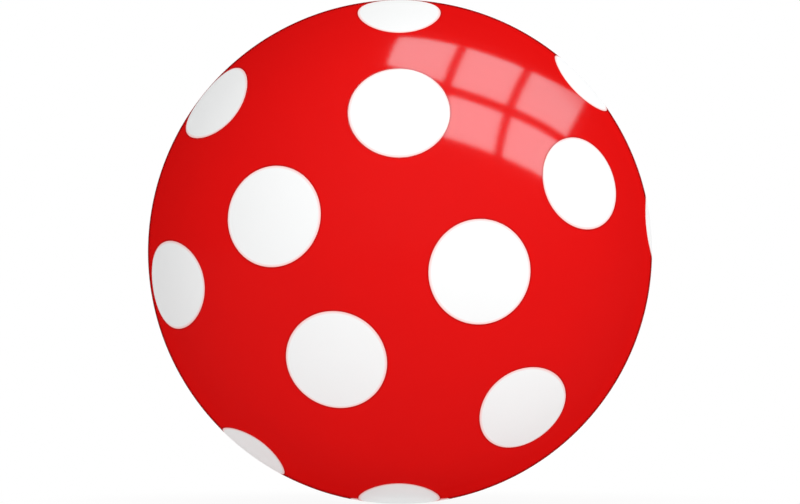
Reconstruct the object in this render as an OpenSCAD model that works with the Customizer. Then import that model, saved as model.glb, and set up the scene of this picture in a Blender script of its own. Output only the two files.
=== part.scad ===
// Inflated rubber ball with inlaid dots. The origin is the ball's centre, the photographed side faces -Y,
// +Z is up and the valve is on the far side, at +Y. All lengths are in millimetres.

/* [Ball] */
// Diameter of the inflated ball
ball_d = 216; // [170:1:260]

/* [Layers, from the outside in] */
// Thickness of the outer cover
cover_t = 1; // [0.8:0.05:1.6]
// Thickness of the rubber ply under the cover
ply_t = 0.5; // [0.3:0.05:1]
// Thickness of the wound nylon thread
winding_t = 0.3; // [0.2:0.05:0.8]
// Thickness of the bladder
bladder_t = 0.8; // [0.5:0.05:1.5]
// Line of rubber cement between two bonded faces
bond_gap = 0.05; // [0.02:0.01:0.1]

/* [Cover joint] */
// Width of the groove where the two halves of the cover meet
groove_w = 0.8; // [0.4:0.1:2]
// Depth of that groove
groove_depth = 0.25; // [0.1:0.05:0.4]

/* [Dots] */
// Width of a round dot before the cover is formed into a dome
dot_w = 45; // [25:1:54]
// Thickness of a dot
dot_t = 0.5; // [0.3:0.05:0.65]

/* [Valve plug] */
// Width of the guide hole that a pump needle enters
needle_hole_d = 2.2; // [2:0.05:2.6]
// Length of the straight part of the guide hole
needle_hole_l = 9; // [6:0.5:10]
// Width of the funnel at the mouth of the guide hole
funnel_d = 3.4; // [3:0.1:5]
// Depth of the funnel
funnel_depth = 0.6; // [0.3:0.1:1]
// Width of the plug's head
plug_head_d = 8; // [7.6:0.1:9]
// Thickness of the plug's head
plug_head_t = 1.5; // [1:0.1:2.5]
// Chamfer around the top of the head
plug_head_edge = 0.3; // [0.1:0.05:0.6]
// Depth of the head's top under the ball's surface
plug_sink = 0.3; // [0.1:0.05:0.8]
// Width of the plug's shank
plug_shank_d = 5.6; // [4.6:0.1:6.2]
// Width of the bulb that keeps the plug in its seat
plug_bulb_d = 7.4; // [6.8:0.1:8]
// Length of the straight side of the bulb
plug_bulb_l = 2.4; // [1.5:0.1:3.5]
// Length of the shoulder on the outer side of the bulb
plug_bulb_back = 0.6; // [0.3:0.1:1.2]
// Length of the gentler cone that leads the bulb in
plug_bulb_lead = 1.8; // [1:0.1:2.5]
// Distance from the head's top to the bulb's shoulder
plug_bulb_at = 7; // [5:0.5:8]
// Length of the whole plug
plug_l = 17; // [15:0.5:19]
// Length of the two flats that make the lips
lips_l = 4.6; // [2:0.1:5]
// Thickness of the closed lips at their end
lips_t = 1.4; // [0.8:0.1:2.4]
// Play between the plug and its seat
plug_gap = 0.05; // [0.02:0.01:0.1]

/* [Valve housing] */
// Width of the neck that passes out through the layers
neck_d = 12; // [11.4:0.1:14]
// Depth of the neck's top under the ball's surface
neck_sink = 0.15; // [0.05:0.05:0.6]
// Width of the flange
flange_d = 34; // [26:1:44]
// Thickness of the flange in the middle
flange_t = 1.2; // [0.9:0.1:2]
// Thickness of the flange at its rim
flange_rim_t = 0.6; // [0.4:0.1:0.9]
// Width of the stem where it leaves the flange
stem_d = 12.4; // [11.4:0.1:14]
// Width of the stem at its inner end
stem_tip_d = 10.6; // [10:0.1:11.4]
// Length of the stem inside the ball, from the flange
stem_l = 14; // [11:0.5:18]
// Size of the cone that thickens the root of the stem
stem_root = 2; // [0.5:0.1:3]
// Widening at the open end of the stem
stem_mouth = 0.8; // [0.2:0.1:1.2]

/* [Valve patch] */
// Width of the reinforcing patch
patch_d = 48; // [46:1:60]
// Thickness of the patch
patch_t = 0.5; // [0.3:0.05:1]

/* [Valve opening in the cover] */
// Chamfer around the opening
opening_edge = 0.25; // [0.1:0.05:0.4]
// Width of the moulded ring around the opening, at the middle of its bead
ring_d = 17; // [16:0.5:24]
// Width of that bead
ring_bead_w = 0.8; // [0.5:0.1:1.2]

/* [Hidden] */
// Where each dot lies: the angle from the middle of the photographed side, and the bearing around it, which
// is 0 to the right and 90 at the top
dot_places = [
    [72, 90.2], [81.1, 43], [33.1, 90.4], [70.6, 141], [49.5, 20.8], [30.9, 164.3], [89.6, 5.7],
    [18.7, -14], [64.9, -171.7], [29.4, -120.5], [51.7, -51.8], [81.4, -126.3], [79.6, -90.2],
    [106, 75], [105, 118], [119, 35], [145, 80], [139, 143], [106, 163], [140, -8],
    [143, -152], [106, -157], [143, -72], [105, -28], [105, -65], [117, -111],
];
// How long each dot is along the line from the nearer pole, and how wide across it, to the dot's flat width
dot_shares = [
    [1.12, 0.78], [1.05, 0.71], [0.99, 0.94], [1.19, 0.8], [1.03, 0.88], [1, 0.94], [1.05, 0.6],
    [0.99, 0.97], [1.23, 0.83], [1.01, 0.95], [1.09, 0.88], [1.2, 0.72], [1.23, 0.77],
    [1.06, 0.73], [1.07, 0.74], [1.06, 0.82], [1, 0.94], [1.02, 0.92], [1.08, 0.72], [1.01, 0.92],
    [1, 0.93], [1.07, 0.72], [1.01, 0.93], [1.06, 0.72], [1.07, 0.73], [1.09, 0.82],
];
// Number of short flats that make the oval edge of a dot
dot_sides = 40;
// Overrun of every cut past the face that it opens
cut_over = 1;
$fn = 128;

// Outer radius of each layer, from the outside in
ball_r = ball_d / 2;
ply_r = ball_r - cover_t - bond_gap;
winding_r = ply_r - ply_t - bond_gap;
bladder_r = winding_r - winding_t - bond_gap;
patch_r = bladder_r - bladder_t - bond_gap;
flange_r = patch_r - patch_t - bond_gap;

// Floor of the pockets that hold the dots
pocket_floor_r = ball_r - dot_t - bond_gap;

// Hole that the neck takes in every layer
neck_hole_d = neck_d + 2 * bond_gap;

// Heights along the valve's axis, measured from the ball's centre
plug_top = ball_r - plug_sink;
plug_seat = plug_top - plug_head_t;
plug_bulb_top = plug_top - plug_bulb_at;
plug_end = plug_top - plug_l;
needle_hole_end = plug_top - funnel_depth - needle_hole_l;
flange_under = flange_r - flange_t;
flange_rim = sqrt(pow(flange_r, 2) - pow(flange_d / 2, 2));
stem_end = flange_under - stem_l;
ring_height = sqrt(pow(ball_r, 2) - pow(ring_d / 2, 2));

dot_count = len(dot_places);
function dot_name(i) = str("dot_", i < 9 ? "0" : "", i + 1);

// Half length and half width of a dot, and the angle that it spans from its middle along the ball
function dot_half_l(i) = dot_w / 2 * dot_shares[i][0];
function dot_half_w(i) = dot_w / 2 * dot_shares[i][1];
function dot_reach(i) = asin((dot_half_l(i) + bond_gap) / ball_r);

// Turns the Z axis to the valve, and to the middle of a dot
module on_valve_axis() {
    rotate([-90, 0, 0]) children();
}

module on_dot_axis(i) {
    rotate([90, 0, 0]) rotate([0, 0, dot_places[i][1]]) rotate([0, dot_places[i][0], 0]) children();
}

// A ball whose poles lie on the valve's axis, clear of every dot
module ball(r) {
    on_valve_axis() sphere(r = r);
}

module hollow_ball(outer_r, wall_t) {
    difference() {
        ball(outer_r);
        ball(outer_r - wall_t);
    }
}

// A straight oval punch from the ball's centre out through the middle of a dot
module dot_punch(i, play) {
    half_l = dot_half_l(i) + play;
    half_w = dot_half_w(i) + play;
    on_dot_axis(i)
        linear_extrude(height = ball_r + cut_over)
            polygon([
                for (k = [0 : dot_sides - 1])
                    let (turn = 360 * k / dot_sides) [half_l * cos(turn), half_w * sin(turn)]
            ]);
}

module dot(i) {
    color("white")
        intersection() {
            hollow_ball(ball_r, dot_t);
            dot_punch(i, 0);
        }
}

module dot_pocket(i) {
    difference() {
        dot_punch(i, bond_gap);
        ball(pocket_floor_r);
    }
}

module neck_hole() {
    on_valve_axis() cylinder(d = neck_hole_d, h = ball_r + cut_over);
}

// The groove where the two halves meet, as a ring around the Y axis
module joint_groove() {
    half_w = groove_w / 2 * (groove_depth + cut_over) / groove_depth;
    rotate([90, 0, 0])
        rotate_extrude()
            polygon([[ball_r - groove_depth, 0], [ball_r + cut_over, half_w], [ball_r + cut_over, -half_w]]);
}

// Half of the outer cover as moulded, before its pockets are cut. The side is -1 for the front and 1 for the rear.
module plain_half(side) {
    reach = ball_r + cut_over;
    difference() {
        intersection() {
            hollow_ball(ball_r, cover_t);
            translate([-reach, side > 0 ? bond_gap / 2 : -reach - bond_gap / 2, -reach])
                cube([2 * reach, reach, 2 * reach]);
        }
        joint_groove();
    }
}

module front_cover() {
    color([0.89, 0.09, 0.075])
        difference() {
            plain_half(-1);
            for (i = [0 : dot_count - 1])
                if (dot_places[i][0] - dot_reach(i) < 90) dot_pocket(i);
        }
}

module rear_cover() {
    color([0.89, 0.09, 0.075])
        difference() {
            union() {
                plain_half(1);
                valve_ring();
            }
            for (i = [0 : dot_count - 1])
                if (dot_places[i][0] + dot_reach(i) > 90) dot_pocket(i);
            neck_hole();
            on_valve_axis()
                translate([0, 0, ball_r - opening_edge - neck_sink])
                    cylinder(d1 = neck_hole_d, d2 = neck_hole_d + 2 * (opening_edge + cut_over),
                             h = opening_edge + cut_over);
        }
}

// The bead moulded on the cover around the valve
module valve_ring() {
    on_valve_axis()
        translate([0, 0, ring_height])
            rotate_extrude()
                translate([ring_d / 2, 0]) circle(d = ring_bead_w);
}

module inner_ply() {
    color([0.35, 0.08, 0.06])
        difference() {
            hollow_ball(ply_r, ply_t);
            neck_hole();
        }
}

module winding() {
    color([0.9, 0.88, 0.8])
        difference() {
            hollow_ball(winding_r, winding_t);
            neck_hole();
        }
}

module bladder() {
    color([0.12, 0.12, 0.13])
        difference() {
            hollow_ball(bladder_r, bladder_t);
            neck_hole();
        }
}

module valve_patch() {
    color([0.3, 0.3, 0.32])
        difference() {
            intersection() {
                hollow_ball(patch_r, patch_t);
                on_valve_axis() cylinder(d = patch_d, h = ball_r);
            }
            neck_hole();
        }
}

// The flange has a domed face against the patch and a flatter cone under it, so it thins towards its rim
module flange() {
    intersection() {
        sphere(r = flange_r);
        rotate_extrude()
            polygon([
                [0, flange_under], [flange_d / 2, flange_rim - flange_rim_t],
                [flange_d / 2, flange_r], [0, flange_r],
            ]);
    }
}

module stem() {
    translate([0, 0, stem_end])
        cylinder(d1 = stem_tip_d, d2 = stem_d, h = stem_l);
    translate([0, 0, flange_under - stem_root])
        cylinder(d1 = stem_tip_d, d2 = stem_d + 2 * stem_root, h = stem_root);
}

module neck() {
    intersection() {
        sphere(r = ball_r - neck_sink);
        translate([0, 0, stem_end + stem_l / 2]) cylinder(d = neck_d, h = ball_r);
    }
}

// The outline of the plug from its head's underside to its end, widened by the play of its seat
function plug_side(play) = let (
    shank_r = plug_shank_d / 2 + play,
    bulb_r = plug_bulb_d / 2 + play,
    bulb_top = plug_bulb_top + play,
    bulb_side = plug_bulb_top - plug_bulb_back,
    bulb_foot = bulb_side - plug_bulb_l
) [
    [shank_r, bulb_top], [bulb_r, bulb_side + play], [bulb_r, bulb_foot - play],
    [shank_r, bulb_foot - plug_bulb_lead - play],
];

// The space that the plug fills in the housing, open at both ends
module plug_seat_cut() {
    shank_r = plug_shank_d / 2 + plug_gap;
    head_r = plug_head_d / 2 + plug_gap;
    rotate_extrude()
        polygon(concat(
            [[0, ball_r + cut_over], [head_r, ball_r + cut_over], [head_r, plug_seat], [shank_r, plug_seat]],
            plug_side(plug_gap),
            [
                [shank_r, stem_end + stem_mouth], [shank_r + stem_mouth, stem_end],
                [shank_r + stem_mouth, stem_end - cut_over], [0, stem_end - cut_over],
            ]
        ));
}

module valve_housing() {
    color([0.1, 0.1, 0.11])
        on_valve_axis()
            difference() {
                union() {
                    neck();
                    flange();
                    stem();
                }
                plug_seat_cut();
            }
}

// One of the two flats that thin the end of the plug to its lips
module lip_flat() {
    reach = plug_shank_d / 2 + cut_over;
    translate([0, reach, 0])
        rotate([90, 0, 0])
            linear_extrude(height = 2 * reach)
                polygon([
                    [plug_shank_d / 2, plug_end + lips_l], [lips_t / 2, plug_end],
                    [lips_t / 2, plug_end - cut_over], [reach, plug_end - cut_over], [reach, plug_end + lips_l],
                ]);
}

module guide_hole() {
    translate([0, 0, needle_hole_end])
        cylinder(d = needle_hole_d, h = needle_hole_l + funnel_depth + cut_over);
    translate([0, 0, needle_hole_end - needle_hole_d / 2])
        cylinder(d1 = 0, d2 = needle_hole_d, h = needle_hole_d / 2);
    translate([0, 0, plug_top - funnel_depth])
        cylinder(d1 = needle_hole_d, d2 = funnel_d, h = funnel_depth);
}

module valve_plug() {
    head_r = plug_head_d / 2;
    shank_r = plug_shank_d / 2;
    color([0.16, 0.16, 0.17])
        on_valve_axis()
            difference() {
                rotate_extrude()
                    polygon(concat(
                        [
                            [0, plug_top], [head_r - plug_head_edge, plug_top], [head_r, plug_top - plug_head_edge],
                            [head_r, plug_seat], [shank_r, plug_seat],
                        ],
                        plug_side(0),
                        [[shank_r, plug_end], [0, plug_end]]
                    ));
                lip_flat();
                mirror([1, 0, 0]) lip_flat();
                guide_hole();
            }
}

front_cover();
rear_cover();
inner_ply();
winding();
bladder();
valve_patch();
valve_housing();
valve_plug();
for (i = [0 : dot_count - 1]) dot(i);
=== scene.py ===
import math

import bmesh
import bpy
import numpy as np
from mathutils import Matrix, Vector
from mathutils.geometry import delaunay_2d_cdt
from mathutils.kdtree import KDTree


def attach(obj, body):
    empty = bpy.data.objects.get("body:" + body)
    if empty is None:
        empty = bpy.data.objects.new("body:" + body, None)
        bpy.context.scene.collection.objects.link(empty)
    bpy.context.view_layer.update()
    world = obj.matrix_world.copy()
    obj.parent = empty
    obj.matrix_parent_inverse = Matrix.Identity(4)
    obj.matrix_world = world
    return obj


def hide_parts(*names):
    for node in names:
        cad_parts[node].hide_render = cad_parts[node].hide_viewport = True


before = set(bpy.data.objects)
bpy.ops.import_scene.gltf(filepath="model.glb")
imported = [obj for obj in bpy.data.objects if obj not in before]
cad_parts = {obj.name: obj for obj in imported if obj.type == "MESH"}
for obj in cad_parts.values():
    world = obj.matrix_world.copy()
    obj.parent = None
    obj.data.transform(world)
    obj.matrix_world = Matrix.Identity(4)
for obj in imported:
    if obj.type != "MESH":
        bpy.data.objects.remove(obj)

bl_info = {
    "name": "Dotted rubber ball",
    "version": (1, 0, 0),
    "blender": (4, 5, 0),
    "location": "3D View > Sidebar > Ball",
    "description": "Dresses the solids of an inflated ball with moulded skins, finishes and a small studio",
    "category": "Add Mesh",
}

MM = 0.001
TINY = 1e-9
BODY = "root"

# Each half of the cover with its side along the valve's axis
COVERS = {"front_cover": -1, "rear_cover": 1}
DOTS = sorted(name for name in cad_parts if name.startswith("dot_"))
VALVE_AXIS = np.array([0.0, 1.0, 0.0])

# The photograph's size, and the middle and radius of the ball's outline in it, in pixels
PHOTO_W, PHOTO_H = 800, 504
OUTLINE_MIDDLE = np.array([400, 251.87])
OUTLINE_R = 252.07


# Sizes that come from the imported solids


def node_points(name):
    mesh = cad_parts[name].data
    points = np.empty(3 * len(mesh.vertices))
    mesh.vertices.foreach_get("co", points)
    return points.reshape(-1, 3)


def radii(name):
    lengths = np.linalg.norm(node_points(name), axis=1)
    return lengths.min(), lengths.max()


COVER_INNER_R, BALL_R = radii("front_cover")
DOT_INNER_R = radii(DOTS[0])[0]
FLOOR_Z = -BALL_R


class DotPlace:
    """Where a dot lies: its middle, the directions along and across it, and its half sizes along them."""

    def __init__(self, name):
        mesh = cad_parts[name].data
        points = node_points(name)
        outer = np.linalg.norm(points, axis=1) > (BALL_R + DOT_INNER_R) / 2
        faces = [list(face.vertices) for face in mesh.polygons if all(outer[k] for k in face.vertices)]
        area = sum(
            np.cross(points[face[k]] - points[face[0]], points[face[k + 1]] - points[face[0]])
            for face in faces
            for k in range(1, len(face) - 1)
        )
        self.name = name
        self.middle = area / np.linalg.norm(area)
        along = VALVE_AXIS - self.middle * (self.middle @ VALVE_AXIS)
        self.along = along / np.linalg.norm(along)
        self.across = np.cross(self.middle, self.along)
        rim = points[outer]
        self.half_l = np.abs(rim @ self.along).max()
        self.half_w = np.abs(rim @ self.across).max()

    def point(self, turn, grow, radius, share=1.0):
        """Points at the angles turn around the dot's edge, moved out by grow and then scaled by share, at the
        distance radius from the ball's centre."""
        length = (self.half_l + grow) * np.cos(turn) * share
        width = (self.half_w + grow) * np.sin(turn) * share
        up = np.sqrt(radius**2 - length**2 - width**2)
        return np.outer(length, self.along) + np.outer(width, self.across) + np.outer(up, self.middle)

    def beyond(self, points):
        """How far outside the dot's edge each point of the ball's surface lies."""
        length, width = points @ self.along, points @ self.across
        whole = np.hypot(length / self.half_l, width / self.half_w)
        slope = np.maximum(np.hypot(length / self.half_l**2, width / self.half_w**2), TINY)
        away = whole * (whole - 1) / slope
        return np.where(points @ self.middle > 0, away, BALL_R)


DOT_PLACES = [DotPlace(name) for name in DOTS]


# Settings that a user can change


class BallCoverSettings(bpy.types.PropertyGroup):
    red: bpy.props.FloatVectorProperty(
        name="Red", description="Colour of the cover", subtype="COLOR", size=3, min=0, max=1,
        default=(0.745, 0.0057, 0.005),
    )
    shade_red: bpy.props.FloatVectorProperty(
        name="Deeper red", description="Colour of the faint clouds in the rubber", subtype="COLOR", size=3,
        min=0, max=1, default=(0.7, 0.0054, 0.0056),
    )
    point_count: bpy.props.IntProperty(
        name="Points", description="Points spread over a whole ball of cover", default=24000, min=4000,
        max=80000,
    )
    joint_points: bpy.props.IntProperty(
        name="Joint points", description="Points along the joint of the two halves", default=360, min=90,
        max=1440,
    )
    bond_gap: bpy.props.FloatProperty(
        name="Cement line", description="Line of rubber cement between two bonded faces", subtype="DISTANCE",
        default=0.05 * MM, min=0,
    )
    groove_w: bpy.props.FloatProperty(
        name="Groove width", description="Width of the groove at the joint", subtype="DISTANCE",
        default=0.8 * MM, min=0.1 * MM,
    )
    groove_depth: bpy.props.FloatProperty(
        name="Groove depth", description="Depth of the groove at the joint", subtype="DISTANCE",
        default=0.25 * MM, min=0,
    )
    pocket_round: bpy.props.FloatProperty(
        name="Pocket rounding", description="Width of the rounded edge around each dot's pocket",
        subtype="DISTANCE", default=0.3 * MM, min=0.02 * MM,
    )
    pocket_drop: bpy.props.FloatProperty(
        name="Pocket drop", description="Depth of the rounded edge around each dot's pocket",
        subtype="DISTANCE", default=0.06 * MM, min=0,
    )
    opening_r: bpy.props.FloatProperty(
        name="Valve opening", description="Radius of the opening for the valve's neck", subtype="DISTANCE",
        default=6.05 * MM, min=1 * MM,
    )
    opening_edge: bpy.props.FloatProperty(
        name="Opening edge", description="Width and depth of the worn edge around the valve opening",
        subtype="DISTANCE", default=0.4 * MM, min=0.05 * MM,
    )
    bead_r: bpy.props.FloatProperty(
        name="Bead radius", description="Radius of the moulded bead around the valve", subtype="DISTANCE",
        default=8.5 * MM, min=2 * MM,
    )
    bead_w: bpy.props.FloatProperty(
        name="Bead width", description="Width of that bead", subtype="DISTANCE", default=0.8 * MM,
        min=0.1 * MM,
    )
    coat: bpy.props.FloatProperty(
        name="Gloss", description="Weight of the clear gloss over the rubber", subtype="FACTOR", default=0.6,
        min=0, max=1,
    )
    coat_roughness: bpy.props.FloatProperty(
        name="Gloss blur", description="Roughness of the clear gloss", subtype="FACTOR", default=0.105, min=0,
        max=1,
    )


class BallDotSettings(bpy.types.PropertyGroup):
    white: bpy.props.FloatVectorProperty(
        name="White", description="Colour of the dots", subtype="COLOR", size=3, min=0, max=1,
        default=(0.922, 0.93, 0.93),
    )
    rim: bpy.props.FloatVectorProperty(
        name="Rim", description="Colour of the thin rim where red shows through", subtype="COLOR", size=3,
        min=0, max=1, default=(1.0, 0.6, 0.58),
    )
    sides: bpy.props.IntProperty(
        name="Sides", description="Points around each dot", default=112, min=24, max=360,
    )
    edge_round: bpy.props.FloatProperty(
        name="Edge rounding", description="Radius of a dot's outer edge", subtype="DISTANCE",
        default=0.12 * MM, min=0.01 * MM,
    )


class BallValveSettings(bpy.types.PropertyGroup):
    edge_round: bpy.props.FloatProperty(
        name="Edge rounding", description="Width of the rounding on the outer edges of the valve's rubber",
        subtype="DISTANCE", default=0.18 * MM, min=0.01 * MM,
    )
    sharp_from: bpy.props.FloatProperty(
        name="Sharp from", description="Least turn between two faces whose edge is rounded", subtype="ANGLE",
        default=math.radians(35), min=math.radians(20), max=math.radians(80),
    )
    lips_top: bpy.props.FloatProperty(
        name="Top of the lips",
        description="From the ball's centre to the top of the plug's flat lips, which stay sharp",
        subtype="DISTANCE", default=95.3 * MM, min=0,
    )


class BallStageSettings(bpy.types.PropertyGroup):
    distance: bpy.props.FloatProperty(
        name="Camera distance", description="From the camera to the ball's centre", subtype="DISTANCE",
        default=2.7, min=0.5,
    )
    outline_share: bpy.props.FloatProperty(
        name="Outline", description="Radius of the ball's outline to the picture's width",
        default=OUTLINE_R / PHOTO_W, min=0.05, max=0.5,
    )
    rise_share: bpy.props.FloatProperty(
        name="Rise", description="How far the ball's middle lies above the picture's, to its width",
        default=(PHOTO_H / 2 - OUTLINE_MIDDLE[1]) / PHOTO_W, min=-0.2, max=0.2,
    )
    ambient: bpy.props.FloatProperty(
        name="Room light", description="Strength of the even light from all around", default=0.26, min=0,
    )
    key_light: bpy.props.FloatProperty(
        name="Key light", description="Strength of the broad light from one side of the room", default=1.44,
        min=0,
    )
    key_from: bpy.props.FloatVectorProperty(
        name="Key side", description="Where the broad light comes from", subtype="DIRECTION", size=3,
        default=(0.258, -0.797, 0.547),
    )
    back_light: bpy.props.FloatProperty(
        name="Back light", description="Strength of the weaker light from behind and the right", default=0.32,
        min=0,
    )
    back_from: bpy.props.FloatVectorProperty(
        name="Back side", description="Where the weaker light comes from", subtype="DIRECTION", size=3,
        default=(0.7, 0.65, 0.3),
    )
    floor_light: bpy.props.FloatProperty(
        name="Floor light", description="Strength of the light that the floor throws up under the ball",
        default=0.58, min=0,
    )
    window_strength: bpy.props.FloatProperty(
        name="Window", description="How much light the window's panes add to what they shine on",
        default=0.27, min=0,
    )
    floor_glow: bpy.props.FloatProperty(
        name="Floor white", description="Share of the floor's look that is plain white", subtype="FACTOR",
        default=0.92, min=0, max=1,
    )


# Shader maths


# The places of a Mix node's colour sockets
MIX_FIRST, MIX_SECOND, MIX_RESULT = 6, 7, 2
WHITE, BLACK = (1.0, 1.0, 1.0), (0.0, 0.0, 0.0)


class Value:
    """A shader socket that takes part in Python sums. Each operation adds a Math node."""

    def __init__(self, finish, socket):
        self.finish = finish
        self.socket = socket

    def math(self, operation, *terms):
        return self.finish.add("ShaderNodeMath", {"operation": operation}, dict(enumerate(terms)))

    def __add__(self, other):
        return self.math("ADD", self, other)

    def __sub__(self, other):
        return self.math("SUBTRACT", self, other)

    def __rsub__(self, other):
        return self.math("SUBTRACT", other, self)

    def __mul__(self, other):
        return self.math("MULTIPLY", self, other)

    def __truediv__(self, other):
        return self.math("DIVIDE", self, other)

    def __rtruediv__(self, other):
        return self.math("DIVIDE", other, self)

    def __pow__(self, other):
        return self.math("POWER", self, other)

    def __rpow__(self, other):
        return self.math("POWER", other, self)

    __radd__ = __add__
    __rmul__ = __mul__

    def most(self, other):
        """The larger of the two."""
        return self.math("MAXIMUM", self, other)


class Finish:
    """A material, or the world, whose nodes are added by one method."""

    def __init__(self, name, target=None):
        self.material = target or bpy.data.materials.new(name)
        self.material.use_nodes = True
        self.tree = self.material.node_tree
        self.tree.nodes.clear()

    def add(self, kind, settings=None, inputs=None, output=0):
        """Adds a node, sets it, gives its sockets their values or links, and returns one of its outputs."""
        node = self.tree.nodes.new(kind)
        for key, value in (settings or {}).items():
            if key == "stops":
                ramp = node.color_ramp.elements
                while len(ramp) < len(value):
                    ramp.new(1)
                for stop, (place, level) in zip(ramp, value):
                    stop.position = place
                    stop.color = (level, level, level, 1)
            else:
                setattr(node, key, value)
        for key, value in (inputs or {}).items():
            if isinstance(value, Value):
                self.tree.links.new(value.socket, node.inputs[key])
            elif node.inputs[key].type == "RGBA" and len(value) == 3:
                node.inputs[key].default_value = (*value, 1)
            else:
                node.inputs[key].default_value = value
        return Value(self, node.outputs[output]) if node.outputs else None

    def named(self, attribute):
        """A number that the mesh holds at its points."""
        return self.add("ShaderNodeAttribute", {"attribute_name": attribute}, output="Fac")

    def place(self, mapping=None):
        """A point's place on the piece, through a Mapping node where its sockets are given."""
        where = self.add("ShaderNodeTexCoord", output="Object")
        return self.add("ShaderNodeMapping", inputs={"Vector": where, **mapping}) if mapping else where

    def noise(self, scale, detail=3, roughness=0.5, mapping=None):
        sizes = {"Scale": scale, "Detail": detail, "Roughness": roughness}
        return self.add("ShaderNodeTexNoise", inputs={"Vector": self.place(mapping), **sizes})

    def bands(self, direction, scale, distortion, detail, detail_scale=1.0, mapping=None):
        sizes = {"Scale": scale, "Distortion": distortion, "Detail": detail, "Detail Scale": detail_scale}
        return self.add(
            "ShaderNodeTexWave", {"wave_type": "BANDS", "bands_direction": direction},
            {"Vector": self.place(mapping), **sizes}, output="Fac",
        )

    def ramp(self, value, stops):
        return self.add("ShaderNodeValToRGB", {"stops": stops}, {"Fac": value})

    def blend(self, share, first, second):
        """A colour between two, by a share from 0 to 1."""
        colours = {"Factor": share, MIX_FIRST: first, MIX_SECOND: second}
        return self.add("ShaderNodeMix", {"data_type": "RGBA"}, colours, output=MIX_RESULT)

    def bump(self, height, distance, strength):
        sizes = {"Distance": distance, "Strength": strength}
        return self.add("ShaderNodeBump", inputs={"Height": height, **sizes})

    def vector(self, operation, inputs, output="Value"):
        return self.add("ShaderNodeVectorMath", {"operation": operation}, inputs, output)

    def rays(self, kind):
        """1 for rays of that kind, 0 for others."""
        return self.add("ShaderNodeLightPath", output=f"Is {kind} Ray")

    def show(self, shader, output="ShaderNodeOutputMaterial"):
        self.add(output, inputs={"Surface": shader})
        return self.material

    def surface(self, settings):
        return self.show(self.add("ShaderNodeBsdfPrincipled", inputs=settings))


def near(value, width):
    """1 where value is 0, falling evenly to 0 at width."""
    return (1 - value / width).most(0)


# Finishes


def glossy_skin(finish, colour, roughness, rim_gloss):
    """Rubber under a clear, faintly wavy gloss, thinner near the outline, with its own weight at the rim."""
    cover = bpy.context.scene.ball_cover
    waves = finish.noise(scale=700, detail=2) + finish.noise(scale=2600, detail=1) * 0.25
    facing = finish.add("ShaderNodeLayerWeight", inputs={"Blend": 0.5}, output="Facing")
    thin_gloss = 0.08
    stops = [(0.52, cover.coat), (0.8, thin_gloss), (0.86, thin_gloss), (0.92, rim_gloss)]
    return finish.surface({
        "Base Color": colour,
        "Roughness": roughness,
        "Specular IOR Level": 0.0,
        "Coat Weight": finish.ramp(facing, stops),
        "Coat Roughness": cover.coat_roughness,
        "Normal": finish.bump(waves, distance=0.004 * MM, strength=0.4),
    })


def red_rubber():
    """Red with faint clouds and scuffs, painted shade down in the pockets' edges, and darker in the joint."""
    cover = bpy.context.scene.ball_cover
    pocket_shade_red, joint_red = (0.42, 0.004, 0.004), (0.3, 0.004, 0.004)
    finish = Finish("red_rubber_dressed")
    clouds = finish.noise(scale=28, detail=4, roughness=0.55)
    colour = finish.blend(clouds, cover.red, cover.shade_red)
    # Painted shade: the red darkens toward each dot's edge, down the pocket's rounded edge
    colour = finish.blend(near(finish.named("dot_edge"), width=0.9) * 0.8, colour, pocket_shade_red)
    colour = finish.blend(near(finish.named("joint"), width=0.45) * 0.5, colour, joint_red)
    streaks = finish.noise(scale=9, detail=5, roughness=0.6, mapping={"Scale": (1, 1, 3)})
    scuffs = finish.ramp(streaks, [(0.56, 0), (0.8, 1)])
    specks = finish.noise(scale=5200, detail=1)
    return glossy_skin(finish, colour, 0.42 + scuffs * 0.08 + specks * 0.06, rim_gloss=0.85)


def white_rubber():
    """White with faint clouds, and a thin rim where the red shows through."""
    dots = bpy.context.scene.ball_dots
    cloud_white = (0.892, 0.9, 0.9)
    finish = Finish("white_rubber_dressed")
    clouds = finish.noise(scale=34, detail=4, roughness=0.55)
    colour = finish.blend(clouds * 0.5, dots.white, cloud_white)
    colour = finish.blend(near(finish.named("dot_edge"), width=1.1) ** 0.7, colour, dots.rim)
    specks = finish.noise(scale=5200, detail=1)
    return glossy_skin(finish, colour, 0.4 + specks * 0.08, rim_gloss=0.05)


def ply_rubber():
    """Dull red rubber with dust on it."""
    dark, pale, dusty = (0.13, 0.012, 0.009), (0.17, 0.02, 0.015), (0.4, 0.33, 0.3)
    finish = Finish("ply_rubber_dressed")
    dust = finish.ramp(finish.noise(scale=320, detail=4, roughness=0.6), [(0.45, 0), (0.75, 1)])
    colour = finish.blend(finish.noise(scale=40, detail=5, roughness=0.6), dark, pale)
    return finish.surface({
        "Base Color": finish.blend(dust * 0.35, colour, dusty),
        "Roughness": 0.75 + dust * 0.15,
        "Specular IOR Level": 0.3,
        "Normal": finish.bump(finish.noise(scale=900), distance=0.05 * MM, strength=0.5),
    })


def nylon_thread():
    """Wound thread in latex: three sets of fine strands that cross at a slant."""
    latex, thread = (0.45, 0.4, 0.27), (0.82, 0.79, 0.68)
    slants = ((0.3, 0.5, 0.9), (-0.6, 0.9, -0.7), (1.2, -0.4, 0.2))
    finish = Finish("nylon_thread_dressed")
    strands = [
        finish.bands("X", scale=420, distortion=2, detail=2, detail_scale=0.4, mapping={"Rotation": slant})
        for slant in slants
    ]
    top = strands[0].most(strands[1]).most(strands[2])
    return finish.surface({
        "Base Color": finish.blend(top, latex, thread),
        "Roughness": 0.7 - top * 0.2,
        "Specular IOR Level": 0.4,
        "Normal": finish.bump(top, distance=0.1 * MM, strength=0.8),
    })


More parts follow.
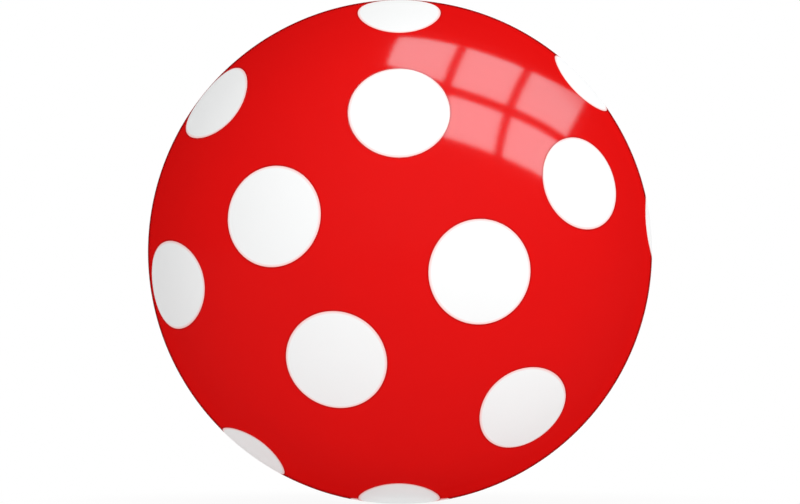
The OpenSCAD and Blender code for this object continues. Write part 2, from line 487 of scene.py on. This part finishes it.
def butyl_rubber():
    """Black rubber with a pale bloom."""
    dark, pale, bloomed = (0.011, 0.011, 0.013), (0.02, 0.02, 0.022), (0.09, 0.09, 0.095)
    finish = Finish("butyl_rubber_dressed")
    bloom = finish.ramp(finish.noise(scale=95, detail=6, roughness=0.65), [(0.5, 0), (0.8, 1)])
    colour = finish.blend(finish.noise(scale=30, detail=5, roughness=0.6), dark, pale)
    return finish.surface({
        "Base Color": finish.blend(bloom * 0.3, colour, bloomed),
        "Roughness": 0.55 + bloom * 0.25,
        "Specular IOR Level": 0.4,
        "Normal": finish.bump(finish.noise(scale=1100), distance=0.03 * MM, strength=0.5),
    })


def patch_rubber():
    """Rubberised cloth, whose weave shows through."""
    dark, pale = (0.055, 0.055, 0.062), (0.11, 0.11, 0.12)
    finish = Finish("patch_rubber_dressed")
    warp, weft = [finish.bands(way, scale=330, distortion=0.6, detail=1) for way in ("X", "Z")]
    cloth = warp.most(weft)
    return finish.surface({
        "Base Color": finish.blend(cloth * finish.noise(scale=60, detail=4), dark, pale),
        "Roughness": 0.85 - cloth * 0.15,
        "Specular IOR Level": 0.3,
        "Normal": finish.bump(cloth, distance=0.06 * MM, strength=0.7),
    })


def moulded_rubber(slot, dark, pale, roughness):
    """Satin moulded rubber with a fine grain and a little talc in patches."""
    talc_grey = (0.3, 0.29, 0.28)
    finish = Finish(f"{slot}_dressed")
    grain = finish.noise(scale=3400)
    talc = finish.ramp(finish.noise(scale=1500, detail=5, roughness=0.6), [(0.5, 0), (0.85, 1)])
    colour = finish.blend(finish.noise(scale=150, detail=4), dark, pale)
    return finish.surface({
        "Base Color": finish.blend(talc * 0.14, colour, talc_grey),
        "Roughness": roughness + grain * 0.12 + talc * 0.2,
        "Specular IOR Level": 0.45,
        "Normal": finish.bump(grain, distance=0.015 * MM, strength=0.5),
    })


def valve_rubber():
    return moulded_rubber("valve_rubber", (0.009, 0.009, 0.01), (0.016, 0.016, 0.018), roughness=0.42)


def plug_rubber():
    return moulded_rubber("plug_rubber", (0.02, 0.02, 0.022), (0.034, 0.034, 0.037), roughness=0.38)


FINISHES = {
    finish.__name__: finish
    for finish in (
        red_rubber, white_rubber, ply_rubber, nylon_thread,
        butyl_rubber, patch_rubber, valve_rubber, plug_rubber,
    )
}


def finish_named(slot):
    """The finish for a slot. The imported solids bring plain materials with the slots' own names."""
    return bpy.data.materials.get(f"{slot}_dressed") or FINISHES[slot]()


# Meshes


def turns(count):
    """Angles spread evenly around a full turn."""
    return np.linspace(0, 2 * math.pi, count, endpoint=False)


def turn_between(first, second):
    """The least turn from one angle to another."""
    return abs((first - second + math.pi) % (2 * math.pi) - math.pi)


def unit(points):
    return points / np.linalg.norm(points, axis=-1, keepdims=True)


def from_valve(directions):
    """How far each point of the ball lies from the valve's axis."""
    return np.hypot(directions[:, 0], directions[:, 2]) * BALL_R


def joint_angle(direction):
    return math.atan2(direction[2], direction[0]) % (2 * math.pi)


def valve_circle(turn, y, r):
    """Directions around the valve's axis, at that place along it and that far from it."""
    return np.column_stack([r * np.cos(turn), np.full(len(turn), y), r * np.sin(turn)])


def even_points(count):
    """Unit directions spread evenly over a ball."""
    k = np.arange(count) + 0.5
    lean = np.arccos(1 - 2 * k / count)
    turn = math.pi * (1 + math.sqrt(5)) * k
    return np.column_stack([np.cos(turn) * np.sin(lean), np.cos(lean), np.sin(turn) * np.sin(lean)])


def tree_of(points):
    tree = KDTree(len(points))
    for k, point in enumerate(points):
        tree.insert(point, k)
    tree.balance()
    return tree


def thinned(points, kept, distance):
    """The points without those nearer than that to an earlier one. The first, as many as kept, all stay."""
    tree = tree_of(points)
    dropped = np.zeros(len(points), bool)
    for k, point in enumerate(points):
        if dropped[k]:
            continue
        for _, other, _ in tree.find_range(point, distance):
            if other > k and other >= kept:
                dropped[other] = True
    return points[~dropped]


def flat_normal(corners, spare):
    """The normal of a flat face from three of its corners, or the spare one where they lie in line."""
    normal = np.cross(corners[1] - corners[0], corners[2] - corners[0])
    size = np.linalg.norm(normal)
    return normal / size if size > 0 else spare


def disc_faces(rings, around):
    """The faces of a disc whose points are its middle and then its rings, each of that many points around."""
    faces = [[0, 1 + k, 1 + (k + 1) % around] for k in range(around)]
    for ring in range(rings - 1):
        a, b = 1 + ring * around, 1 + (ring + 1) * around
        faces += [[a + k, b + k, b + (k + 1) % around, a + (k + 1) % around] for k in range(around)]
    return faces


def add_piece(name, points, faces, normals=None, values=None):
    """A mesh object. normals holds one for each face corner, and values the points' numbers by name."""
    mesh = bpy.data.meshes.new(name)
    mesh.from_pydata(np.asarray(points).tolist(), [], faces)
    mesh.polygons.foreach_set("use_smooth", [True] * len(mesh.polygons))
    for key, numbers in (values or {}).items():
        attribute = mesh.attributes.new(key, "FLOAT", "POINT")
        attribute.data.foreach_set("value", np.asarray(numbers, np.float32))
    mesh.update()
    if normals is None:
        mesh.set_sharp_from_angle(angle=math.radians(40))
    else:
        mesh.normals_split_custom_set(normals)
    piece = bpy.data.objects.new(name, mesh)
    bpy.context.scene.collection.objects.link(piece)
    return piece


def place_piece(piece, node, slot):
    piece.data.materials.append(finish_named(slot))
    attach(piece, BODY)
    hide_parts(node)


def dress(node, slot):
    """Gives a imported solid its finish."""
    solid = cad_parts[node]
    solid.data.materials.clear()
    solid.data.materials.append(finish_named(slot))


class HalfSkin:
    """One half of the cover as a closed solid: skin, pockets for the dots, joint face and inner face."""

    # How far rings of points lie from a pocket's edge, the joint and the middle of the valve's bead, in
    # millimetres, and the number of points in a ring around the valve
    edge_rings = (0.08, 0.18, 0.32, 0.6, 1.1, 1.9)
    joint_rings = (0.12, 0.26, 0.4, 0.7, 1.3, 2.2)
    bead_rings = (-2.1, -1.9, -1.55, -1.1, -0.75, -0.4, -0.3, -0.15, 0, 0.15, 0.3, 0.4, 0.65, 1.1, 1.9)
    valve_sides = 120

    # The other half's dots count too where they reach this near to the joint
    pocket_reach = 1.5 * MM

    # How near to the joint, to a pocket's edge and to each other the rings' points may lie
    joint_clear, edge_clear, ring_clear = 0.06 * MM, 0.04 * MM, 0.07 * MM

    # How near to the joint the points between the rings may lie, and to others, as a share of their spacing
    spread_joint_clear, spread_clear = 2.6 * MM, 0.6

    # Where a pocket's edge crosses the joint: the halvings that find the angle, the digits that tell it from
    # others, and the part of a step within which another point gives way to it
    crossing_halvings, crossing_digits, crossing_part = 50, 9, 3

    # How near to the valve opening's edge a point counts as on it, and a triangle's middle as outside it
    on_opening, outside_opening = 0.01 * MM, 0.001 * MM

    # The step over which the skin's slope is measured, and the height up to which its first direction is
    # turned from the upright axis, both as shares of the ball's radius
    slope_step, most_upright = 2e-4, 0.9

    # The most that a point's distance to a dot's edge says, in millimetres
    farthest_edge = 9

    def __init__(self, side):
        self.side = side
        self.cover = bpy.context.scene.ball_cover
        self.sides = bpy.context.scene.ball_dots.sides
        self.gap = self.cover.bond_gap
        self.floor_r = DOT_INNER_R - self.gap
        self.pockets = [
            dot for dot in DOT_PLACES if side * dot.middle[1] * BALL_R > -dot.half_l - self.pocket_reach
        ]

        # How many of the gathered points lie on the joint, and the dot around which each edge point lies
        self.joint_count = 0
        self.ring_places = {}

    def height(self, directions):
        """How far the skin stands above the plain ball there."""
        cover = self.cover
        share = np.minimum(np.abs(directions[:, 1]) * BALL_R / (cover.groove_w / 2), 1)
        rise = -cover.groove_depth * (1 - share**2) ** 2
        if self.side > 0:
            r = np.where(directions[:, 1] > 0, from_valve(directions), BALL_R)
            share = (r - cover.bead_r) / (cover.bead_w / 2)
            rise = rise + cover.bead_w / 2 * np.maximum(1 - share**2, 0)
            share = np.clip((r - cover.opening_r) / cover.opening_edge, 0, 1)
            rise = rise - cover.opening_edge * (1 - share) ** 2
        share = np.clip(self.beyond(directions) / cover.pocket_round, 0, 1)
        return rise - cover.pocket_drop * (1 - share) ** 2

    def beyond(self, directions):
        """How far each point lies outside the nearest pocket's edge."""
        points = directions * BALL_R
        return np.min([dot.beyond(points) for dot in self.pockets], axis=0) - self.gap

    def surface(self, directions):
        return directions * (BALL_R + self.height(directions))[:, None]

    def normal(self, directions):
        """The skin's own normal, from its heights a little to each side."""
        aslant = np.abs(directions[:, 2:]) < self.most_upright
        first = unit(np.cross(directions, np.where(aslant, [0, 0, 1.0], [1.0, 0, 0])))
        second = np.cross(directions, first)
        ways = []
        for way in (first, second):
            ends = [self.surface(unit(directions + sign * self.slope_step * way)) for sign in (1, -1)]
            ways.append(ends[0] - ends[1])
        normal = unit(np.cross(*ways))
        return normal * np.sign((normal * directions).sum(1))[:, None]

    def pocket_angles(self, dot):
        """The angles around a pocket's edge, with those where it crosses the joint, and which these are."""
        turn = turns(self.sides)
        step = turn[1]
        y = dot.point(turn, self.gap, BALL_R)[:, 1]
        crossings = []
        for k in np.flatnonzero(np.sign(y) != np.sign(np.roll(y, -1))):
            low, high = turn[k], turn[k] + step
            for _ in range(self.crossing_halvings):
                middle = (low + high) / 2
                at = dot.point(np.array([middle]), self.gap, BALL_R)[0, 1]
                low, high = (middle, high) if (at > 0) == (y[k] > 0) else (low, middle)
            crossings.append(((low + high) / 2) % (2 * math.pi))
        least = step / self.crossing_part
        ring = [(t, False) for t in turn if all(turn_between(t, c) > least for c in crossings)]
        ring = sorted(ring + [(c, True) for c in crossings])
        return np.array([t for t, _ in ring]), np.array([crosses for _, crosses in ring])

    def pocket_rings(self):
        """For each pocket here: its dot, its edge's directions, and which are kept and which on the joint."""
        rings = []
        for dot in self.pockets:
            turn, crosses = self.pocket_angles(dot)
            at = unit(dot.point(turn, self.gap, BALL_R))
            at[crosses, 1] = 0
            at[crosses] = unit(at[crosses])
            kept = self.side * at[:, 1] >= -TINY
            if kept.any():
                rings.append((dot, at, kept, crosses))
        return rings

    def joint_ring(self, rings):
        """The joint's directions in order, and the numbers in it of the crossings, by their angles."""
        angles = turns(self.cover.joint_points)
        least = angles[1] / self.crossing_part
        joint = [(a, None) for a in angles]
        for _, at, _, crosses in rings:
            for crossing in at[crosses]:
                angle = joint_angle(crossing)
                joint = [(a, own) for a, own in joint if own is not None or turn_between(a, angle) > least]
                joint.append((angle, crossing))
        joint.sort(key=lambda item: item[0])
        points = [np.array([math.cos(a), 0.0, math.sin(a)]) if own is None else own for a, own in joint]
        numbers = {round(a, self.crossing_digits): k for k, (a, own) in enumerate(joint) if own is not None}
        return points, numbers

    def loose_points(self):
        """Rings of points beside the joint, around the valve and beside the pockets' edges."""
        side, cover = self.side, self.cover
        loose = []
        for k in self.joint_rings:
            y = k * MM / BALL_R
            loose.append(valve_circle(turns(cover.joint_points), side * y, math.sqrt(1 - y * y)))
        if side > 0:
            reach = [cover.opening_r + share * cover.opening_edge for share in (0, 0.5, 1)]
            reach += [cover.bead_r + k * MM for k in self.bead_rings]
            for r in sorted(reach):
                share = r / BALL_R
                loose.append(valve_circle(turns(self.valve_sides), math.sqrt(1 - share * share), share))
        for dot in self.pockets:
            for k in self.edge_rings:
                loose.append(unit(dot.point(turns(self.sides), self.gap + k * MM, BALL_R)))
        loose = np.vstack(loose)
        loose = loose[side * loose[:, 1] > self.joint_clear / BALL_R]
        loose = loose[self.beyond(loose) > self.edge_clear]
        if side > 0:
            loose = loose[from_valve(loose) > cover.opening_r - self.on_opening]
        return loose

    def spread_points(self, close):
        """Points spread evenly over the rest of the half, clear of those that are there."""
        even = even_points(self.cover.point_count)
        even = even[self.side * even[:, 1] > self.spread_joint_clear / BALL_R]
        if self.side > 0:
            even = even[from_valve(even) > self.cover.opening_r]
        spacing = math.sqrt(4 * math.pi / self.cover.point_count)
        tree = tree_of(close)
        return np.array([point for point in even if tree.find(point)[2] > self.spread_clear * spacing])

    def gather(self):
        """The skin's directions and its fixed edges. The joint comes first, then the pockets' edges."""
        rings = self.pocket_rings()
        points, crossings = self.joint_ring(rings)
        self.joint_count = len(points)
        fixed = [(k, (k + 1) % len(points)) for k in range(len(points))]
        for dot, at, kept, crosses in rings:
            numbers = []
            for point, keep, cross in zip(at, kept, crosses):
                if cross:
                    numbers.append(crossings[round(joint_angle(point), self.crossing_digits)])
                elif keep:
                    numbers.append(len(points))
                    points.append(point)
                else:
                    numbers.append(None)
            for a, b in zip(numbers, numbers[1:] + numbers[:1]):
                if a is not None and b is not None and max(a, b) >= self.joint_count:
                    fixed.append((a, b))
            self.ring_places.update((k, dot) for k in numbers if k is not None)
        close = np.vstack([np.array(points), self.loose_points()])
        close = thinned(close, len(points), self.ring_clear / BALL_R)
        return np.vstack([close, self.spread_points(close)]), fixed

    def triangulate(self, directions, fixed):
        """The skin's triangles, facing outward, and which of them lie in a pocket."""
        flat = directions[:, [0, 2]] / (1 + self.side * directions[:, 1])[:, None]
        found = delaunay_2d_cdt([Vector(p) for p in flat], fixed, [], 0, TINY)
        if len(found[0]) != len(directions):
            raise RuntimeError(f"the skin has {len(found[0])} points for {len(directions)}")
        order = [numbers[0] for numbers in found[3]]
        triangles = np.array([[order[k] for k in face] for face in found[2]])
        middles = unit(directions[triangles].sum(1))
        if self.side > 0:
            solid = from_valve(middles) >= self.cover.opening_r - self.outside_opening
            triangles, middles = triangles[solid], middles[solid]
        corner = directions[triangles]
        facing = (np.cross(corner[:, 1] - corner[:, 0], corner[:, 2] - corner[:, 0]) * middles).sum(1)
        triangles[facing < 0] = triangles[facing < 0][:, ::-1]
        return triangles, self.beyond(middles) < 0

    def sheets(self, directions):
        """Where the directions meet the outer skin, the pockets' floors and the inner face."""
        outer = self.surface(directions)
        floor = directions * self.floor_r
        for k, dot in self.ring_places.items():
            along, across = outer[k] @ dot.along, outer[k] @ dot.across
            up = math.sqrt(self.floor_r**2 - along * along - across * across)
            floor[k] = along * dot.along + across * dot.across + up * dot.middle
        inner = directions * COVER_INNER_R
        if self.side > 0:
            edge = np.abs(from_valve(directions) - self.cover.opening_r) < self.on_opening
            inner[edge, 1] = np.sqrt(COVER_INNER_R**2 - self.cover.opening_r**2)
            inner[edge, 0] = outer[edge, 0]
            inner[edge, 2] = outer[edge, 2]
        for sheet in (outer, floor, inner):
            sheet[: self.joint_count, 1] = self.side * self.gap / 2
        return {"outer": outer, "floor": floor, "inner": inner}

    def build(self, name):
        """The half as a piece of that name."""
        directions, fixed = self.gather()
        triangles, in_pocket = self.triangulate(directions, fixed)
        sheets = self.sheets(directions)
        points, faces, kinds = [], [], []
        numbers, sheet_of = {}, {}

        def corner(sheet, k):
            """The number of a sheet's corner in the piece. It is added when it is first asked for."""
            key = (sheet, int(k))
            if key not in numbers:
                numbers[key] = len(points)
                points.append(sheets[sheet][k])
            return numbers[key]

        def add_face(kind, corners):
            faces.append([corner(sheet, k) for sheet, k in corners])
            kinds.append(kind)

        def under(sheet, k):
            """The corner of a pocket's floor right under a corner of the skin, if there is one."""
            return [("floor", k)] if sheet == "outer" and ("floor", k) in numbers else []

        for sheet, group in (("outer", triangles[~in_pocket]), ("floor", triangles[in_pocket])):
            for triangle in group:
                add_face(sheet, [(sheet, k) for k in triangle])
            for a, b in np.vstack([group[:, [0, 1]], group[:, [1, 2]], group[:, [2, 0]]]):
                sheet_of[(int(a), int(b))] = sheet
        for triangle in triangles:
            add_face("inner", [("inner", k) for k in triangle[::-1]])
        for (a, b), sheet in sheet_of.items():
            other = sheet_of.get((b, a))
            if other is None:
                down, up = [*under(sheet, a), ("inner", a)], [("inner", b), *under(sheet, b)]
                add_face("wall", [(sheet, b), (sheet, a), *down, *up])
            elif sheet == "outer" and other == "floor":
                add_face("wall", [("outer", b), ("outer", a), ("floor", a), ("floor", b)])

        points = np.array(points)
        where = unit(points)
        radial = {"outer": self.normal(where), "floor": where, "inner": -where}
        normals = []
        for face, kind in zip(faces, kinds):
            if kind == "wall":
                normals += [flat_normal(points[face[:3]], where[face[0]])] * len(face)
            else:
                normals += [radial[kind][k] for k in face]
        values = {
            "dot_edge": np.clip(self.beyond(where) / MM, 0, self.farthest_edge),
            "joint": np.abs(points[:, 1]) / MM,
        }
        return add_piece(name, points, faces, normals, values)


# The rings of points in a dot: on its face by shares of its size and by millimetres from its edge, down its
# rounded edge by steps, and on its back by shares of its size
FACE_SHARES = (0.12, 0.25, 0.38, 0.51, 0.64, 0.77, 0.88)
FACE_INSETS = (1.4, 0.9, 0.55, 0.3)
ROUND_STEPS = 4
BACK_SHARES = (0.9, 0.7, 0.5, 0.3)


def add_dot(dot, settings):
    """A thin oval disc that follows the ball, with a rounded outer edge."""
    turn, around = turns(settings.sides), settings.sides
    middle_inset = dot.half_w / MM
    rings = [(dot.point(turn, 0, BALL_R, share), (1 - share) * middle_inset) for share in FACE_SHARES]
    rings += [(dot.point(turn, -inset * MM, BALL_R), inset) for inset in FACE_INSETS]
    for k in range(ROUND_STEPS + 1):
        lean = math.pi / 2 * k / ROUND_STEPS
        inset = settings.edge_round * (1 - math.sin(lean))
        drop = settings.edge_round * (1 - math.cos(lean))
        rings.append((dot.point(turn, -inset, BALL_R - drop), inset / MM))
    rings.append((dot.point(turn, 0, DOT_INNER_R), 0.0))
    rings += [(dot.point(turn, 0, DOT_INNER_R, share), (1 - share) * middle_inset) for share in BACK_SHARES]
    points = np.vstack([dot.middle * BALL_R, *(ring for ring, _ in rings), dot.middle * DOT_INNER_R])
    insets = [middle_inset, *(inset for _, inset in rings for _ in turn), middle_inset]
    last = len(points) - 1
    faces = disc_faces(len(rings), around)
    faces += [[last, last - around + (k + 1) % around, last - around + k] for k in range(around)]
    piece = add_piece(f"{dot.name}_skin", points, faces, values={"dot_edge": insets})
    place_piece(piece, dot.name, "white_rubber")


def add_rounded(node, slot, valve, above=0.0):
    """A copy of a moulded solid whose outer edges above that place are rounded, as a mould leaves them."""
    shape = bmesh.new()
    shape.from_mesh(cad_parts[node].data)
    bmesh.ops.remove_doubles(shape, verts=shape.verts, dist=0.001 * MM)
    bmesh.ops.dissolve_limit(shape, angle_limit=math.radians(1), verts=shape.verts, edges=shape.edges)
    sharp = [
        edge for edge in shape.edges
        if edge.is_convex and edge.calc_face_angle(0) > valve.sharp_from
        and min(corner.co.y for corner in edge.verts) > above
    ]
    bmesh.ops.bevel(
        shape, geom=sharp, offset=valve.edge_round, offset_type="OFFSET", segments=3, profile=0.5,
        affect="EDGES", clamp_overlap=True,
    )
    shape.verts.index_update()
    points = [corner.co for corner in shape.verts]
    faces = [[corner.index for corner in face.verts] for face in shape.faces]
    piece = add_piece(f"{node}_rounded", points, faces)
    shape.free()
    evened = piece.modifiers.new("even_shading", "WEIGHTED_NORMAL")
    evened.keep_sharp = True
    place_piece(piece, node, slot)


# The studio


# Where the window's bars and edges cross in the photograph's gloss, in pixels: along the top edge, the middle
# bar and the bottom edge, each from left to right. Then half the width of a bar, and the window's tint.
WINDOW_CROSSINGS = (
    ((400, 37), (463, 47), (528, 70), (586, 100)),
    ((386, 70), (446, 89), (509, 111), (564, 141)),
    ((379, 123), (438, 135), (498, 155), (547, 180)),
)
HALF_BAR = 4.8
WINDOW_TINT = (0.45, 0.96, 1.0)

# How far the window stands from the ball's centre, in metres, and the points along each side of a pane
WINDOW_AWAY = 1.5
PANE_POINTS = 10

GLOSS_IOR = 1.5


def through(count, at):
    """The weights of evenly spaced points on a smooth curve through all of them, at a place along it."""
    return [math.prod((at - j) / (k - j) for j in range(count) if j != k) for k in range(count)]


def outline_spread(stage):
    """The tangent of the angle between the ball's middle and its outline, as the camera sees them."""
    return math.tan(math.asin(BALL_R / stage.distance))


def mirrored(right, up, stage, distance):
    """The place at that distance from the ball's centre that shows in the gloss at a spot, and how squarely
    the camera sees the spot, from 0 to 1. The spot is given in shares of the outline's radius."""
    eye = np.array([0.0, -stage.distance, 0.0])
    spread = outline_spread(stage)
    way = unit(np.array([right * spread, 1.0, up * spread]))
    middle = -(eye @ way)
    reach = middle - math.sqrt(max(middle**2 - (eye @ eye - BALL_R**2), 0))
    spot = eye + reach * way
    normal = spot / BALL_R
    back = way - 2 * (way @ normal) * normal
    along = -(spot @ back) + math.sqrt((spot @ back) ** 2 + distance**2 - BALL_R**2)
    return spot + along * back, -(way @ normal)


def mirror_share(square):
    """The share of light that the clear gloss mirrors, where it is seen that squarely."""
    g = math.sqrt(GLOSS_IOR**2 - 1 + square**2)
    return 0.5 * ((g - square) / (g + square)) ** 2 * (
        1 + ((square * (g + square) - 1) / (square * (g - square) + 1)) ** 2
    )


def only_for_gloss(piece):
    piece.visible_camera = piece.visible_diffuse = piece.visible_shadow = False
    piece.visible_transmission = piece.visible_volume_scatter = False


def bar_shares(place, count, length):
    """The shares of a pane's side that the bars at its two ends take. The window's own edges have no bar."""
    share = HALF_BAR / length
    return (0 if place == 0 else share), (0 if place == count - 1 else share)


def add_window(stage):
    """Six panes on a curved panel, which only the gloss sees."""
    crossings = np.array(WINDOW_CROSSINGS)
    rows, columns = crossings.shape[0] - 1, crossings.shape[1] - 1
    points, faces, levels = [], [], []
    for row in range(rows):
        for column in range(columns):
            corner = crossings[row, column]
            left, right = bar_shares(column, columns, np.linalg.norm(crossings[row, column + 1] - corner))
            top, bottom = bar_shares(row, rows, np.linalg.norm(crossings[row + 1, column] - corner))
            first = len(points)
            for down in np.linspace(top, 1 - bottom, PANE_POINTS):
                for over in np.linspace(left, 1 - right, PANE_POINTS):
                    weights = through(rows + 1, row + down), through(columns + 1, column + over)
                    pixel = np.einsum("i,j,ijk", *weights, crossings)
                    right_of, below = (pixel - OUTLINE_MIDDLE) / OUTLINE_R
                    spot, square = mirrored(right_of, -below, stage, WINDOW_AWAY)
                    points.append(spot)
                    levels.append(1 / mirror_share(square))
            for j in range(PANE_POINTS - 1):
                for k in range(first + j * PANE_POINTS, first + (j + 1) * PANE_POINTS - 1):
                    faces.append([k, k + PANE_POINTS, k + PANE_POINTS + 1, k + 1])
    panes = add_piece("window_panes", points, faces, values={"level": levels})
    glow = Finish("window_light")
    level = glow.named("level") * (stage.window_strength / bpy.context.scene.ball_cover.coat)
    colour = glow.vector("SCALE", {0: WINDOW_TINT, "Scale": level}, output="Vector")
    panes.data.materials.append(glow.show(glow.add("ShaderNodeEmission", inputs={"Color": colour})))
    only_for_gloss(panes)


def level_ring(reach, z, around):
    """Points around the upright axis through the ball."""
    turn = turns(around)
    return np.column_stack([reach * np.cos(turn), reach * np.sin(turn), np.full(around, z)])


def add_flags():
    """A black dome and a black sheet over the floor, open around the ball's foot. Only the gloss sees them,
    so that it shows nothing but the window."""
    dome_r, around, steps_up = 3.6, 24, 10
    hole_r, above_floor = 21.6 * MM, 1 * MM
    leans = [math.pi / 2 * step / steps_up for step in range(1, steps_up + 1)]
    rings = [level_ring(dome_r * math.sin(lean), dome_r * math.cos(lean), around) for lean in leans]
    rings += [level_ring(reach, FLOOR_Z + above_floor, around) for reach in (dome_r, hole_r)]
    faces = [face[::-1] for face in disc_faces(len(rings), around)]
    flags = add_piece("black_flags", np.vstack([[0, 0, dome_r], *rings]), faces)
    felt = Finish("black_felt")
    flags.data.materials.append(felt.show(felt.add("ShaderNodeBsdfDiffuse", inputs={"Color": BLACK})))
    only_for_gloss(flags)


def seen_plainly(finish):
    """1 for the rays by which the camera, gloss and clear things see the background."""
    return finish.rays("Camera").most(finish.rays("Glossy")).most(finish.rays("Transmission"))


def add_floor(stage):
    """A wide pale floor that looks white, with the ball's faint shadow and painted shade around its foot."""
    floor_r, inner_r, ring_count, around = 60.0, 0.15, 14, 64
    shadow_r, white_r = 0.08, 0.22
    dark, pale = (0.35, 0.35, 0.35), (0.38, 0.38, 0.38)
    reaches = [inner_r * (floor_r / inner_r) ** (ring / (ring_count - 1)) for ring in range(ring_count)]
    points = np.vstack([[0, 0, FLOOR_Z], *(level_ring(reach, FLOOR_Z, around) for reach in reaches)])
    floor = add_piece("studio_floor", points, disc_faces(ring_count, around))
    paper = Finish("white_paper")
    tone = paper.blend(paper.noise(scale=3, detail=4), dark, pale)
    lit = paper.add("ShaderNodeBsdfDiffuse", inputs={"Color": tone, "Roughness": 0.5})
    white = paper.add("ShaderNodeEmission", inputs={"Color": WHITE, "Strength": 1.0})
    away = paper.vector("LENGTH", {"Vector": paper.place()})
    # Painted shade around the ball's foot: nearer than white_r the floor shows less white and more dark paper
    span = {"From Min": shadow_r, "From Max": white_r, "To Min": stage.floor_glow, "To Max": 1.0}
    far = paper.add("ShaderNodeMapRange", {"interpolation_type": "SMOOTHSTEP"}, {"Value": away, **span})
    both = paper.add("ShaderNodeMixShader", inputs={0: seen_plainly(paper) * far, 1: lit, 2: white})
    upward = paper.rays("Diffuse") * stage.floor_light
    glow = paper.add("ShaderNodeEmission", inputs={"Color": WHITE, "Strength": upward})
    floor.data.materials.append(paper.show(paper.add("ShaderNodeAddShader", inputs={0: both, 1: glow})))


def light_the_room(stage):
    """Even light and two broad lights from the world, which the camera and the gloss see as plain white."""
    world = bpy.data.worlds.new("white_room")
    bpy.context.scene.world = world
    room = Finish("white_room", world)
    plain = seen_plainly(room)
    way = room.add("ShaderNodeTexCoord", output="Generated")
    light = stage.ambient
    for strength, side in ((stage.key_light, stage.key_from), (stage.back_light, stage.back_from)):
        toward = room.vector("DOT_PRODUCT", {0: way, 1: Vector(side).normalized()})
        light = toward.most(0) * strength + light
    level = light + (1 - light) * plain
    sky = room.add("ShaderNodeBackground", inputs={"Color": WHITE, "Strength": level})
    room.show(sky, "ShaderNodeOutputWorld")


def add_camera(stage):
    """A camera square on to the ball, which fills the picture as it does in the photograph."""
    data = bpy.data.cameras.new("camera")
    data.sensor_width = 36
    data.lens = data.sensor_width * stage.outline_share / outline_spread(stage)
    data.shift_y = -stage.rise_share
    data.clip_start, data.clip_end = 0.01, 500
    camera = bpy.data.objects.new("camera", data)
    bpy.context.scene.collection.objects.link(camera)
    camera.location = (0, -stage.distance, 0)
    camera.rotation_euler = (math.pi / 2, 0, 0)
    bpy.context.scene.camera = camera
    bpy.context.scene.view_settings.view_transform = "Standard"


# Operators


class BALL_OT_add_covers(bpy.types.Operator):
    """Adds both halves of the red cover, with their pockets, joint groove and valve bead"""

    bl_idname = "ball.add_covers"
    bl_label = "Add covers"

    def execute(self, context):
        for node, side in COVERS.items():
            piece = HalfSkin(side).build(f"{node}_skin")
            place_piece(piece, node, "red_rubber")
        return {"FINISHED"}


class BALL_OT_add_dots(bpy.types.Operator):
    """Adds every white dot as an inlaid disc"""

    bl_idname = "ball.add_dots"
    bl_label = "Add dots"

    def execute(self, context):
        for dot in DOT_PLACES:
            add_dot(dot, context.scene.ball_dots)
        return {"FINISHED"}


class BALL_OT_add_valve(bpy.types.Operator):
    """Adds the valve's housing and plug with rounded edges"""

    bl_idname = "ball.add_valve"
    bl_label = "Add valve"

    def execute(self, context):
        valve = context.scene.ball_valve
        add_rounded("valve_housing", "valve_rubber", valve)
        add_rounded("valve_plug", "plug_rubber", valve, valve.lips_top)
        return {"FINISHED"}


class BALL_OT_dress_layers(bpy.types.Operator):
    """Gives the layers under the cover and the valve's patch their finishes"""

    bl_idname = "ball.dress_layers"
    bl_label = "Dress layers"

    def execute(self, context):
        for node, slot in (
            ("inner_ply", "ply_rubber"), ("winding", "nylon_thread"), ("bladder", "butyl_rubber"),
            ("valve_patch", "patch_rubber"),
        ):
            dress(node, slot)
        return {"FINISHED"}


class BALL_OT_set_stage(bpy.types.Operator):
    """Adds the floor, room light, window, flags and camera"""

    bl_idname = "ball.set_stage"
    bl_label = "Set stage"

    def execute(self, context):
        stage = context.scene.ball_stage
        add_camera(stage)
        add_floor(stage)
        add_window(stage)
        add_flags()
        light_the_room(stage)
        return {"FINISHED"}


class BALL_PT_sidebar(bpy.types.Panel):
    bl_label = "Dotted ball"
    bl_idname = "BALL_PT_sidebar"
    bl_space_type = "VIEW_3D"
    bl_region_type = "UI"
    bl_category = "Ball"

    def draw(self, context):
        for operator in OPERATORS:
            self.layout.operator(operator.bl_idname)
        for group in GROUPS:
            settings = getattr(context.scene, group)
            box = self.layout.box()
            for key in settings.__annotations__:
                box.prop(settings, key)


OPERATORS = (
    BALL_OT_set_stage,
    BALL_OT_add_covers,
    BALL_OT_add_dots,
    BALL_OT_add_valve,
    BALL_OT_dress_layers,
)
GROUPS = {
    "ball_cover": BallCoverSettings,
    "ball_dots": BallDotSettings,
    "ball_valve": BallValveSettings,
    "ball_stage": BallStageSettings,
}


def register():
    for group in GROUPS.values():
        bpy.utils.register_class(group)
    for key, group in GROUPS.items():
        setattr(bpy.types.Scene, key, bpy.props.PointerProperty(type=group))
    for operator in OPERATORS:
        bpy.utils.register_class(operator)
    bpy.utils.register_class(BALL_PT_sidebar)


def unregister():
    bpy.utils.unregister_class(BALL_PT_sidebar)
    for operator in reversed(OPERATORS):
        bpy.utils.unregister_class(operator)
    for key, group in GROUPS.items():
        delattr(bpy.types.Scene, key)
        bpy.utils.unregister_class(group)


def main():
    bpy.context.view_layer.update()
    register()
    bpy.ops.ball.set_stage()
    bpy.ops.ball.add_covers()
    bpy.ops.ball.add_dots()
    bpy.ops.ball.add_valve()
    bpy.ops.ball.dress_layers()


if __name__ == "__main__":
    main()
